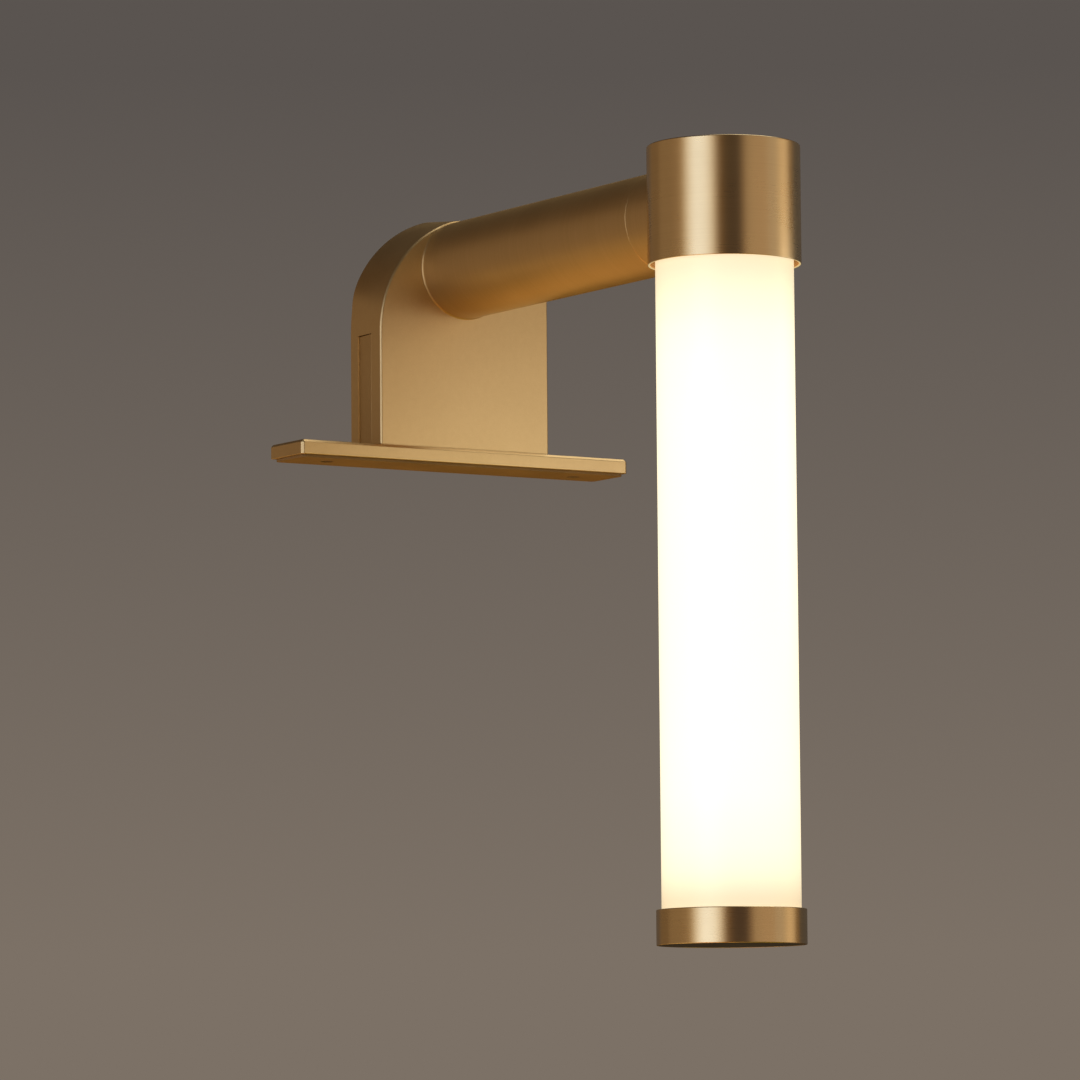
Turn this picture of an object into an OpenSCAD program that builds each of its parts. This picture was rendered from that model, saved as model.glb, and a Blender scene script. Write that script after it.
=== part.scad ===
// Single-arm mirror light: a flat foot carries an arched driver housing, a
// round arm reaches forward from the housing, and an opal light tube hangs
// from a metal cap at the end of the arm. The head turns about the arm.
// Frame: origin at the centre of the foot's underside, +Z up, +Y towards the
// wall, +X to the right as seen from the front. Millimetres.

/* [Foot] */
// Width of the foot
foot_w = 132; // [110:1:180]
// Depth of the foot, front to back
foot_d = 21.2; // [21.2:0.1:30]
// Height of the foot with its pad
foot_h = 6; // [5:0.5:9]
// Thickness of the pad under the foot
pad_t = 1; // [0.5:0.1:1.5]
// Chamfer on the foot's visible edges
foot_edge = 0.9; // [0.3:0.1:1.4]
// Distance between the two fixing holes
fix_pitch = 100; // [88:1:104]
// Radius of a fixing hole
fix_r = 2.25; // [1.6:0.05:2.6]

/* [Housing] */
// Width of the housing
house_w = 68; // [66:1:76]
// Depth of the housing
house_d = 20; // [20:0.1:20.4]
// Height of the straight sides above the foot
side_h = 39; // [38:0.5:42]
// Radius of the side arcs of the arch
side_r = 42; // [40:0.5:46]
// Radius of the crown of the arch
crown_r = 16; // [14:0.5:20]
// Radius of the right-hand shoulder, tighter than the left-hand one
right_r = 26; // [24:0.5:28]
// Growth of the shoulders from the front to the back
draft = 2.1; // [0:0.1:2.4]
// Thickness of the side walls
wall = 2; // [1.6:0.1:2.2]
// Thickness of the front wall
front_t = 2.5; // [2:0.1:2.8]
// Chamfer around the housing's front face
house_edge = 0.8; // [0.3:0.1:1.2]
// Thickness of the back plate
back_t = 1.8; // [1.6:0.1:2]

/* [Arm] */
// Height of the arm's axis above the foot
arm_up = 62.4; // [60:0.1:63]
// Outer radius of the arm
arm_r = 16.9; // [16:0.1:18]
// Wall of the arm tube
arm_wall = 1.5; // [1:0.1:2]
// Distance from the housing's front to the axis of the light tube
reach = 160.7; // [130:0.1:200]
// Distance from the light tube's axis to the seam where the head turns
seam_at = 32.6; // [31:0.1:36]
// Width of the seam
seam_gap = 0.3; // [0.2:0.05:0.5]
// How far the head turns each way, degrees
turn = 90; // [30:5:90]

/* [Head] */
// Outer radius of the top cap
cap_r = 25; // [25:0.1:26]
// Height of the top cap
cap_h = 38.8; // [36:0.1:44]
// Height of the cap's top above the arm's axis
cap_rise = 20.3; // [19:0.1:22]
// Wall of the top cap
cap_wall = 0.8; // [0.6:0.1:1]
// Outer radius of the light tube
glow_r = 22.5; // [22:0.1:22.8]
// Wall of the light tube
glow_wall = 2.5; // [2:0.1:2.6]
// Length of the light tube that shows between cap and bottom ring
glow_len = 209; // [120:1:320]
// Outer radius of the bottom ring
ring_r = 24.25; // [24:0.05:25]
// Height of the bottom ring
ring_h = 11.5; // [11:0.1:16]

/* [Light source] */
// Width of the square light-engine core
core_w = 16; // [15:0.5:17]
// Distance from one light-emitting diode to the next
chip_pitch = 15; // [10:1:30]
// Width of a light-emitting diode
chip_w = 2.8; // [2:0.1:3.5]

/* [Hidden] */
$fn = 96;

// heights
spring_z = foot_h + side_h;
arm_z = foot_h + arm_up;
cap_top = arm_z + cap_rise;
cap_bot = cap_top - cap_h;
ring_top = cap_bot - glow_len;
ring_bot = ring_top - ring_h;
// depths, front is negative
foot_f = -foot_d / 2;
foot_b = foot_d / 2;
house_f = foot_b - house_d;
house_b = foot_b;
cav_f = house_f + front_t;
back_f = house_b - back_t;
head_y = house_f - reach;
seam_y = head_y + seam_at;
tube_end = seam_y + seam_gap / 2;
collar_end = seam_y - seam_gap / 2;
washer_t = 1;
bush_f = collar_end + washer_t;
bush_t = 10;
bush_b = bush_f + bush_t;
nut_f = bush_b + 1;
nut_t = 5;
spin_end = nut_f + nut_t + 1.65;
lead_split = spin_end + 1;
// arch geometry: left side arc centred at off on the spring line, crown above
off = side_r - house_w / 2;
crown_up = sqrt(pow(side_r - crown_r, 2) - off * off);
wedge_x = off / (side_r - crown_r);
wedge_z = crown_up / (side_r - crown_r);
house_top = spring_z + crown_up + crown_r;
// head stack
core_bot = cap_bot + 8;
core_top = core_bot + 22;
glow_top = core_bot - 1.5;
web_top = ring_top - 4.5;
web_bot = web_top - 2;
glow_bot = web_top + 1.2;
glow_in = glow_r - glow_wall;
spacer_r = glow_in - 0.5;
core_end = web_top + 2.5;
lead_r = 1.2;
lead_off = core_w / 2 + 1 + lead_r;
// swivel
spin_r = 6;
spin_bore = 3.5;
pin_at = 11;
pin_r = 1.25;
// service room inside the housing
term_x = -14;
term_w = 24;
term_z0 = 46;
term_z1 = 57;
pole = 8;
lead_y = -4.1;
drv_x = 25;
drv_z0 = 16;
drv_z1 = 41;
drv_b = 4.9;
boss_lo = [27, 10.5];
boss_hi = [23.5, 62];
foot_boss_x = 16;
foot_boss_y = 0.6;
grom = [15, 52];
grom_bore = 3.6;
earth = [-14, 64];
cover_f = house_f + 6.3;
cover_b = house_f + 15.2;

// ---------- helpers ----------
// cylinder along Y
module ycyl(r, y0, y1, x = 0, z = 0)
    translate([x, y0, z]) rotate([-90, 0, 0]) cylinder(r = r, h = y1 - y0);

// solid of revolution about an axis along Y, profile points are [radius, y]
module yrev(pts, x = 0, z = 0)
    translate([x, 0, z]) rotate([-90, 0, 0]) rotate_extrude() polygon(pts);

// solid of revolution about the light tube's axis, profile points are [radius, z]
module zrev(pts)
    translate([0, head_y, 0]) rotate_extrude() polygon(pts);

// cylinder along Z
module zcyl(r, z0, z1, x = 0, y = 0)
    translate([x, y, z0]) cylinder(r = r, h = z1 - z0);

// box between two corners
module box(a, b) translate(a) cube(b - a);

// hexagonal prism along Y with a round hole
module yhex(af, y0, y1, hole, z)
    difference() {
        translate([0, y0, z]) rotate([-90, 0, 0]) cylinder(r = af / sqrt(3), h = y1 - y0, $fn = 6);
        ycyl(hole, y0 - 1, y1 + 1, 0, z);
    }

// disc of the arch with a chamfered front edge, wider by d at its back
module arch_disc(r, x, z, y0, y1, c, d = 0)
    yrev(c > 0 ? [[0, y0], [r - c, y0], [r, y0 + c], [r + d, y1], [0, y1]]
               : [[0, y0], [r, y0], [r + d, y1], [0, y1]], x, z);

// wedge between the top and the plane where the left side arc hands over to
// the crown
module arch_wedge(y0, y1) {
    k = 60;
    translate([0, y1, spring_z + crown_up]) rotate([90, 0, 0])
        linear_extrude(height = y1 - y0)
            polygon([[0, 0], [0, k * wedge_z], [-k * wedge_x, k * wedge_z]]);
}

// solid with the housing's outline, inset by i, from y0 to y1 and standing on
// zb, with a chamfer c around its front face. The left shoulder is a long side
// arc with a crown arc above it; the right side runs straight up further and
// has a tighter shoulder. The shoulders grow by d towards the back, inside the
// straight sides.
module arch_block(i, y0, y1, zb, c = 0, d = 0) {
    h = house_w / 2 - i;
    top = house_top - i;
    sx = house_w / 2 - right_r;
    sz = house_top - right_r;
    translate([0, 0, zb]) linear_extrude(height = spring_z - zb)
        polygon([[-h + c, y0], [h - c, y0], [h, y0 + c], [h, y1], [-h, y1], [-h, y0 + c]]);
    // left shoulder
    difference() {
        intersection() {
            arch_disc(side_r - i, off, spring_z, y0, y1, c, d);
            box([-h, y0 - 1, spring_z], [0, y1 + 1, spring_z + 60]);
        }
        arch_wedge(y0 - 2, y1 + 2);
    }
    intersection() {
        arch_disc(crown_r - i, 0, spring_z + crown_up, y0, y1, c, d);
        arch_wedge(y0 - 2, y1 + 2);
    }
    // right side, above the spring line of the left shoulder
    translate([0, 0, spring_z]) linear_extrude(height = sz - spring_z)
        polygon([[0, y0], [h - c, y0], [h, y0 + c], [h, y1], [0, y1]]);
    rotate([90, 0, 90]) linear_extrude(height = sx)
        polygon([[y0, sz], [y0, top - c], [y0 + c, top], [y1, top + d], [y1, sz]]);
    intersection() {
        arch_disc(right_r - i, sx, sz, y0, y1, c, d);
        box([sx, y0 - 1, sz], [h, y1 + 1, sz + 60]);
    }
}

// the four back-plate fixing points
module at_bosses()
    for (s = [-1, 1]) for (p = [boss_lo, boss_hi]) translate([s * p[0], 0, p[1]]) children();

// ---------- foot ----------
module base_pad() {
    color([0.52, 0.42, 0.26])
    difference() {
        box([-foot_w / 2 + 1.2, foot_f + 1.2, 0], [foot_w / 2 - 1.2, foot_b - 0.6, pad_t]);
        for (s = [-1, 1]) zcyl(fix_r, -1, pad_t + 1, s * fix_pitch / 2, 0);
    }
}

module base_plate() {
    e = foot_edge;
    w = foot_w / 2;
    color([0.79, 0.65, 0.44])
    difference() {
        intersection() {
            translate([0, 0, pad_t]) linear_extrude(height = foot_h - pad_t)
                polygon([[-w + e, foot_f], [w - e, foot_f], [w, foot_f + e], [w, foot_b], [-w, foot_b], [-w, foot_f + e]]);
            translate([-w - 1, 0, 0]) rotate([90, 0, 90]) linear_extrude(height = 2 * w + 2)
                polygon([[foot_f - 1, pad_t - 1], [foot_b + 1, pad_t - 1], [foot_b + 1, foot_h], [foot_f + e, foot_h], [foot_f - 1, foot_h - e - 1]]);
            translate([0, foot_b + 1, 0]) rotate([90, 0, 0]) linear_extrude(height = foot_d + 2)
                polygon([[-w - 1, pad_t - 1], [w + 1, pad_t - 1], [w + 1, foot_h - e - 1], [w - e, foot_h], [-w + e, foot_h], [-w - 1, foot_h - e - 1]]);
        }
        // countersunk fixing holes
        for (s = [-1, 1]) {
            zcyl(fix_r, 0, foot_h + 1, s * fix_pitch / 2, 0);
            translate([s * fix_pitch / 2, 0, foot_h - 2.25])
                cylinder(r1 = fix_r, r2 = fix_r + 2.5, h = 2.5);
        }
        // screws that come up into the housing, heads below
        for (s = [-1, 1]) {
            zcyl(2.15, 0, foot_h + 1, s * foot_boss_x, foot_boss_y);
            translate([s * foot_boss_x, foot_boss_y, pad_t - 0.3])
                cylinder(r1 = 4.35, r2 = 2.15, h = 2.2);
        }
    }
}

module base_plate_screws()
    color([0.70, 0.71, 0.73])
    for (s = [-1, 1])
        translate([s * foot_boss_x, foot_boss_y, 0]) difference() {
            rotate_extrude() polygon([[0, pad_t], [3.95, pad_t], [2, pad_t + 1.95], [1.65, pad_t + 1.95], [1.65, foot_h + 7.5], [0, foot_h + 7.5]]);
            // cross recess
            for (a = [0, 90]) rotate([0, 0, a]) translate([-1.9, -0.4, pad_t - 1]) cube([3.8, 0.8, 2.1]);
        }

// ---------- housing ----------
module housing_shell() {
    color([0.76, 0.61, 0.40])
    difference() {
        union() {
            difference() {
                arch_block(0, house_f, house_b, foot_h, house_edge, draft);
                arch_block(wall, cav_f, house_b + 2, foot_h + 2);
                arch_block(wall / 2, back_f, house_b + 2, foot_h + 1);
            }
            // posts for the back plate
            at_bosses() ycyl(3.2, cav_f - 1, back_f);
            // posts for the foot's screws
            for (s = [-1, 1]) zcyl(3.8, foot_h + 1, foot_h + 9, s * foot_boss_x, foot_boss_y);
            // post for the earth screw
            ycyl(2.9, cav_f - 1, cav_f + 2.4, earth[0], earth[1]);
        }
        at_bosses() ycyl(1.25, back_f - 9, back_f + 1);
        for (s = [-1, 1]) zcyl(1.65, foot_h - 1, foot_h + 8, s * foot_boss_x, foot_boss_y);
        ycyl(1.65, cav_f - 1.2, cav_f + 4, earth[0], earth[1]);
        // way in for the threaded nipple
        ycyl(5.2, house_f - 1, cav_f + 1, 0, arm_z);
        // openings for the side covers
        for (s = [-1, 1])
            translate([s * (house_w / 2 - wall / 2), 0, 0])
                box([-wall / 2 - 0.001, cover_f, foot_h - 1], [wall / 2 + 1, cover_b, spring_z]);
        // shadow gap where the housing stands on the foot
        difference() {
            box([-house_w, house_f - 1, foot_h - 1], [house_w, house_b + 1, foot_h + 0.3]);
            box([-house_w / 2 + 0.5, house_f + 0.5, foot_h - 2], [house_w / 2 - 0.5, house_b + 2, foot_h + 1]);
        }
    }
}

module back_plate() {
    color([0.70, 0.56, 0.37])
    difference() {
        arch_block(wall / 2 + 0.1, back_f, house_b, foot_h + 1.1);
        at_bosses() {
            ycyl(1.6, back_f - 1, house_b + 1);
            translate([0, house_b - 1.5, 0]) rotate([-90, 0, 0]) cylinder(r1 = 1.6, r2 = 3.1, h = 1.5001);
        }
        ycyl(5.2, back_f - 1, house_b + 1, grom[0], grom[1]);
        translate([grom[0], house_b - 0.8, grom[1]]) rotate([-90, 0, 0]) cylinder(r1 = 5.2, r2 = 6, h = 0.8001);
    }
}

module back_plate_screws()
    color([0.70, 0.71, 0.73])
    at_bosses() difference() {
        yrev([[0, house_b - 10], [1.25, house_b - 10], [1.25, house_b - 1.5], [1.5, house_b - 1.5], [2.95, house_b - 0.05], [0, house_b - 0.05]]);
        for (a = [0, 90]) translate([0, house_b, 0]) rotate([0, a, 0]) translate([-1.4, -1, -0.3]) cube([2.8, 2, 0.6]);
    }

// Side cover: flush with the housing along its front edge, sunk along its rear
// edge, held by a flange inside the wall
module side_cover(s) {
    x1 = house_w / 2;
    g = 0.1;
    xi = x1 - wall - 0.05;
    mirror([s < 0 ? 1 : 0, 0, 0]) {
        translate([0, 0, foot_h]) linear_extrude(height = spring_z - foot_h - 0.25)
            polygon([[xi, cover_f + 0.05], [x1 - 0.02, cover_f + 0.05], [x1 - 0.6, cover_b - g], [xi, cover_b - g]]);
        box([xi - 0.9, cover_f - 1.3, foot_h + 2.1], [xi, cover_b + 1.3, spring_z + 1.5]);
    }
}
module side_cover_left() color([0.70, 0.55, 0.35]) side_cover(-1);
module side_cover_right() color([0.70, 0.55, 0.35]) side_cover(1);

module cable_grommet()
    color([0.12, 0.12, 0.13])
    yrev([[grom_bore, back_f - 1.5], [7, back_f - 1.5], [7, back_f], [5.2, back_f], [5.2, house_b - 0.8], [5.9, house_b - 0.1], [5.9, house_b], [grom_bore, house_b]], grom[0], grom[1]);

module terminal_block() {
    x0 = term_x - term_w / 2;
    color([0.90, 0.89, 0.85])
    difference() {
        union() {
            box([x0, cav_f, term_z0], [x0 + term_w, cav_f + 7, term_z1]);
            for (i = [0:2]) box([x0 + i * pole + 0.8, cav_f + 6, term_z0 + 0.8], [x0 + (i + 1) * pole - 0.8, cav_f + 11, term_z1 - 0.8]);
        }
        for (i = [0:2]) {
            xc = x0 + (i + 0.5) * pole;
            zcyl(1.4, term_z0 - 1, term_z1 + 1, xc, lead_y);
            for (z = [term_z0 + 3, term_z1 - 3]) ycyl(2, lead_y, cav_f + 12, xc, z);
        }
    }
}

module terminal_screws()
    color([0.78, 0.70, 0.45])
    for (i = [0:2]) for (z = [term_z0 + 3, term_z1 - 3])
        difference() {
            ycyl(1.9, lead_y + 2, cav_f + 9.5, term_x + (i - 1) * pole, z);
            box([term_x + (i - 1) * pole - 3, cav_f + 8.7, z - 0.3], [term_x + (i - 1) * pole + 3, cav_f + 10, z + 0.3]);
        }

module earth_screw()
    color([0.75, 0.62, 0.30])
    difference() {
        yrev([[0, cav_f - 1], [1.65, cav_f - 1], [1.65, cav_f + 3.2], [3.1, cav_f + 3.2], [3.1, cav_f + 5.2], [2.6, cav_f + 5.7], [0, cav_f + 5.7]], earth[0], earth[1]);
        for (a = [0, 90]) translate([earth[0], cav_f + 5.8, earth[1]]) rotate([0, a, 0]) translate([-1.6, -1.4, -0.35]) cube([3.2, 2, 0.7]);
    }

// ring tongue under the earth screw and the short wire down to the terminal
module earth_lead()
    color([0.45, 0.66, 0.20]) {
        difference() {
            union() {
                ycyl(3.6, cav_f + 2.4, cav_f + 3.2, earth[0], earth[1]);
                box([earth[0] - 1.1, cav_f + 2.4, earth[1] - 4.6], [earth[0] + 1.1, cav_f + 3.2, earth[1] - 2.6]);
            }
            ycyl(1.75, cav_f + 1, cav_f + 5, earth[0], earth[1]);
        }
        zcyl(0.9, term_z1 - 4, earth[1] - 3.7, earth[0], lead_y);
    }

module driver_input_leads()
    color([0.25, 0.35, 0.60])
    for (i = [-1, 1]) zcyl(0.9, drv_z1 - 4, term_z0 + 4, term_x + i * pole, lead_y);

// ---------- driver ----------
module driver_case()
    color([0.93, 0.93, 0.91])
    difference() {
        box([-drv_x, cav_f, drv_z0], [drv_x, drv_b, drv_z1]);
        box([-drv_x + 1.2, cav_f + 1.2, drv_z0 + 1.2], [drv_x - 1.2, drv_b + 1, drv_z1 - 1.2]);
        for (i = [-1, 1]) zcyl(1.05, drv_z1 - 3, drv_z1 + 1, term_x + i * pole, lead_y);
        zcyl(1.5, drv_z1 - 3, drv_z1 + 1, 0, 2.5);
    }

module driver_lid()
    color([0.90, 0.90, 0.88]) {
        box([-drv_x, drv_b, drv_z0], [drv_x, drv_b + 1.2, drv_z1]);
        difference() {
            box([-drv_x + 1.35, drv_b - 1.2, drv_z0 + 1.35], [drv_x - 1.35, drv_b, drv_z1 - 1.35]);
            box([-drv_x + 2.35, drv_b - 2, drv_z0 + 2.35], [drv_x - 2.35, drv_b + 0.0, drv_z1 - 2.35]);
            box([-2, drv_b - 2, drv_z1 - 4], [2, drv_b + 0.0, drv_z1]);
        }
    }

module driver_board()
    color([0.12, 0.38, 0.22]) {
        box([-23.5, -2.5, 17.5], [23.5, -1.1, 39.5]);
        // stand-offs that carry the board on the case's floor
        for (x = [-19, 19]) for (z = [20, 37]) ycyl(1.3, cav_f + 1.2, -2.5, x, z);
    }

module driver_transformer()
    color([0.80, 0.72, 0.25]) {
        box([-8, -1.1, 20], [6, 0.4, 32]);
        box([-6.5, 0.4, 21.5], [4.5, 3.4, 30.5]);
    }

module driver_capacitors()
    color([0.15, 0.16, 0.30]) {
        for (x = [12, 18.5]) ycyl(2.9, -1.1, 3.3, x, 24);
        box([-20, -1.1, 22], [-12, 3, 32]);
        for (x = [10, 14, 18]) box([x - 1.2, -1.1, 32], [x + 1.2, 0.9, 35]);
    }

// ---------- arm ----------
module arm_tube()
    color([0.66, 0.47, 0.25])
    yrev([[arm_r - arm_wall, tube_end], [arm_r - 0.25, tube_end], [arm_r, tube_end + 0.25], [arm_r, house_f - 0.6], [arm_r + 0.6, house_f], [arm_r - arm_wall, house_f]], 0, arm_z);

module arm_rear_plug()
    color([0.70, 0.56, 0.32])
    yrev([[5, house_f - 10], [arm_r - arm_wall - 0.5, house_f - 10], [arm_r - arm_wall, house_f - 9.5], [arm_r - arm_wall, house_f], [5, house_f]], 0, arm_z);

module arm_nipple()
    color([0.72, 0.73, 0.75])
    yrev([[3.5, house_f - 8], [5, house_f - 8], [5, cav_f + 7.4], [3.5, cav_f + 7.4]], 0, arm_z);

module arm_lock_washer()
    color([0.72, 0.73, 0.75])
    difference() {
        yrev([[5.1, cav_f], [9, cav_f], [9, cav_f + 1], [5.1, cav_f + 1]], 0, arm_z);
        // teeth around the rim
        for (a = [0:30:330]) translate([0, 0, arm_z]) rotate([0, a, 0]) box([8.2, cav_f - 1, -0.5], [10, cav_f + 2, 0.5]);
    }

module arm_nut()
    color([0.75, 0.63, 0.32])
    yhex(17, cav_f + 1, cav_f + 6, 5, arm_z);

module arm_front_bush()
    color([0.72, 0.58, 0.33])
    difference() {
        yrev([[spin_r + 0.05, bush_f], [arm_r - arm_wall, bush_f], [arm_r - arm_wall, bush_b - 0.5], [arm_r - arm_wall - 0.5, bush_b], [spin_r + 0.05, bush_b]], 0, arm_z);
        ycyl(pin_r, bush_f - 1, bush_f + 6, 0, arm_z + pin_at);
    }

// pin that stops the head at the ends of its turn
module stop_pin()
    color([0.74, 0.75, 0.77])
    ycyl(pin_r, collar_end - 2, bush_f + 6, 0, arm_z + pin_at);

module thrust_washer()
    color([0.92, 0.91, 0.88])
    difference() {
        yrev([[spin_r + 0.3, collar_end], [14.6, collar_end], [14.6, bush_f], [spin_r + 0.3, bush_f]], 0, arm_z);
        ycyl(pin_r, collar_end - 1, bush_f + 1, 0, arm_z + pin_at);
    }

// lead from the driver up to the nipple and along the arm to the swivel
module led_lead_arm()
    color([0.93, 0.93, 0.93]) {
        zcyl(lead_r, drv_z1 - 3, arm_z - 3, 0, 2.5);
        translate([0, -0.5, arm_z - 3]) rotate([0, -90, 0]) rotate_extrude(angle = 90) translate([3, 0]) circle(r = lead_r);
        ycyl(lead_r, lead_split, -0.5, 0, arm_z);
    }

// ---------- swivel ----------
module neck_collar() {
    color([0.66, 0.47, 0.25])
    difference() {
        yrev([[spin_r + 0.05, head_y + 12], [arm_r, head_y + 12], [arm_r, collar_end - 0.25], [arm_r - 0.25, collar_end], [spin_r + 0.05, collar_end]], 0, arm_z);
        // saddle for the cap
        zcyl(cap_r + 0.03, arm_z - 40, arm_z + 40, 0, head_y);
        // groove that the stop pin runs in
        a = asin(pin_r / pin_at) + 0.6;
        translate([0, collar_end, arm_z]) rotate([90, 0, 0]) rotate([0, 0, 90 - turn - a])
            rotate_extrude(angle = 2 * (turn + a)) translate([pin_at - pin_r - 0.2, -1]) square([2 * pin_r + 0.4, 3.4]);
    }
}

module swivel_spindle()
    color([0.74, 0.62, 0.34])
    yrev([[spin_bore, head_y + 15], [spin_r, head_y + 15], [spin_r, spin_end - 0.5], [spin_r - 0.5, spin_end], [spin_bore, spin_end]], 0, arm_z);

module wave_washer()
    color([0.74, 0.75, 0.77])
    yrev([[spin_r + 0.2, bush_b], [10.5, bush_b], [10.5, nut_f], [spin_r + 0.2, nut_f]], 0, arm_z);

module swivel_nut()
    color([0.75, 0.63, 0.32])
    yhex(19, nut_f, nut_f + nut_t, spin_r, arm_z);

// ---------- head ----------
module top_cap()
    color([0.72, 0.53, 0.31])
    difference() {
        zrev([[0, cap_top], [cap_r - 0.5, cap_top], [cap_r, cap_top - 0.5], [cap_r, cap_bot + 0.15], [cap_r - 0.15, cap_bot],
              [cap_r - cap_wall, cap_bot], [cap_r - cap_wall, cap_top - 1.5], [0, cap_top - 1.5]]);
        ycyl(spin_r + 0.1, head_y + 18, head_y + cap_r + 2, 0, arm_z);
    }

module head_core()
    color([0.80, 0.81, 0.83])
    difference() {
        zrev([[0, core_bot], [cap_r - cap_wall - 0.6, core_bot], [cap_r - cap_wall - 0.1, core_bot + 0.5], [cap_r - cap_wall - 0.1, core_top - 0.5], [cap_r - cap_wall - 0.6, core_top], [0, core_top]]);
        ycyl(spin_r, head_y + 15, head_y + cap_r + 1, 0, arm_z);
        ycyl(spin_bore, head_y + lead_off - 3.4, head_y + 16, 0, arm_z);
        zcyl(2.4, core_bot - 1, arm_z + 0.6, 0, head_y + lead_off);
        zcyl(2, core_bot - 1, core_bot + 12, 0, head_y);
    }

module top_gasket()
    color([0.88, 0.88, 0.86])
    zrev([[glow_in - 0.3, glow_top], [glow_r + 0.5, glow_top], [glow_r + 0.5, core_bot], [glow_in - 0.3, core_bot]]);

module upper_spacer()
    color([0.96, 0.96, 0.95])
    difference() {
        zcyl(spacer_r, core_bot - 3.5, core_bot, 0, head_y);
        translate([-core_w / 2 - 0.05, head_y - core_w / 2 - 0.05, core_bot - 5]) cube([core_w + 0.1, core_w + 0.1, 7]);
        zcyl(lead_r + 0.2, core_bot - 5, core_bot + 1, 0, head_y + lead_off);
    }

module led_core()
    color([0.78, 0.79, 0.81])
    difference() {
        translate([-core_w / 2, head_y - core_w / 2, core_end]) cube([core_w, core_w, core_bot - core_end]);
        zcyl(2.6, core_end - 1, core_bot + 1, 0, head_y);
    }

board_top = core_bot - 5;
board_bot = core_end + 3;
chip_n = floor((board_top - 6 - board_bot - 6) / chip_pitch);
chip_z0 = (board_top + board_bot - 2 - chip_n * chip_pitch) / 2;

module led_boards()
    color([0.97, 0.97, 0.96])
    for (a = [0:90:270]) translate([0, head_y, 0]) rotate([0, 0, a])
        box([-core_w / 2 + 1, core_w / 2, board_bot], [core_w / 2 - 1, core_w / 2 + 1, board_top]);

module led_chips()
    color([0.98, 0.90, 0.45])
    for (a = [0:90:270]) translate([0, head_y, 0]) rotate([0, 0, a])
        for (k = [0:chip_n])
            translate([-chip_w / 2, core_w / 2 + 1, chip_z0 + k * chip_pitch - chip_w / 2]) cube([chip_w, 0.7, chip_w]);

// lead from the swivel through the spindle and down to the boards
module led_lead_head()
    color([0.93, 0.93, 0.93]) {
        ycyl(lead_r, head_y + lead_off + 2.5, lead_split, 0, arm_z);
        translate([0, head_y + lead_off + 2.5, arm_z - 2.5]) rotate([0, -90, 0]) rotate([0, 0, 270])
            rotate_extrude(angle = 90) translate([2.5, 0]) circle(r = lead_r);
        zcyl(lead_r, board_top - 5, arm_z - 2.5, 0, head_y + lead_off);
    }

module tie_rod()
    color([0.72, 0.73, 0.75])
    zcyl(2, web_bot - 2.9, core_bot + 10, 0, head_y);

module lower_spacer()
    color([0.96, 0.96, 0.95])
    difference() {
        zcyl(spacer_r, web_top, web_top + 4, 0, head_y);
        translate([-core_w / 2 - 0.05, head_y - core_w / 2 - 0.05, core_end]) cube([core_w + 0.1, core_w + 0.1, 4]);
        zcyl(2.2, web_top - 1, web_top + 5, 0, head_y);
    }

module diffuser_tube()
    color([1.0, 0.96, 0.84])
    zrev([[glow_in, glow_bot], [glow_r - 0.3, glow_bot], [glow_r, glow_bot + 0.3], [glow_r, glow_top - 0.3], [glow_r - 0.3, glow_top], [glow_in, glow_top]]);

module bottom_gasket()
    color([0.88, 0.88, 0.86])
    zrev([[glow_in - 0.3, web_top], [glow_r + 0.4, web_top], [glow_r + 0.4, glow_bot], [glow_in - 0.3, glow_bot]]);

module bottom_ring()
    color([0.72, 0.53, 0.31])
    zrev([[2.2, web_top], [ring_r - 1.25, web_top], [ring_r - 1.25, ring_top], [ring_r - 0.35, ring_top], [ring_r, ring_top - 0.35],
          [ring_r, ring_bot + 0.35], [ring_r - 0.35, ring_bot], [ring_r - 1.25, ring_bot], [ring_r - 1.25, web_bot], [2.2, web_bot]]);

module tie_nut()
    color([0.72, 0.73, 0.75])
    difference() {
        translate([0, head_y, web_bot - 2.6]) cylinder(r = 7 / sqrt(3), h = 2.6, $fn = 6);
        zcyl(2, web_bot - 4, web_bot + 1, 0, head_y);
    }

// cover let into the underside of the bottom ring, standing on a rim
module bottom_disc()
    color([0.25, 0.24, 0.25])
    zrev([[0, ring_bot + 0.4], [ring_r - 1.65, ring_bot + 0.4], [ring_r - 1.35, ring_bot + 0.7], [ring_r - 1.35, web_bot], [ring_r - 3.35, web_bot], [ring_r - 3.35, ring_bot + 1.8], [0, ring_bot + 1.8]]);

base_pad();
base_plate();
base_plate_screws();
housing_shell();
back_plate();
back_plate_screws();
side_cover_left();
side_cover_right();
cable_grommet();
terminal_block();
terminal_screws();
earth_screw();
earth_lead();
driver_input_leads();
driver_case();
driver_lid();
driver_board();
driver_transformer();
driver_capacitors();
arm_tube();
arm_rear_plug();
arm_nipple();
arm_lock_washer();
arm_nut();
arm_front_bush();
stop_pin();
thrust_washer();
led_lead_arm();
neck_collar();
swivel_spindle();
wave_washer();
swivel_nut();
top_cap();
head_core();
top_gasket();
upper_spacer();
led_core();
led_boards();
led_chips();
led_lead_head();
tie_rod();
lower_spacer();
diffuser_tube();
bottom_gasket();
bottom_ring();
tie_nut();
bottom_disc();
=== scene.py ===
"""Looks of the single-arm mirror light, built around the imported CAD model."""

import math

import bmesh
import bpy
from mathutils import Matrix, Vector


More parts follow.
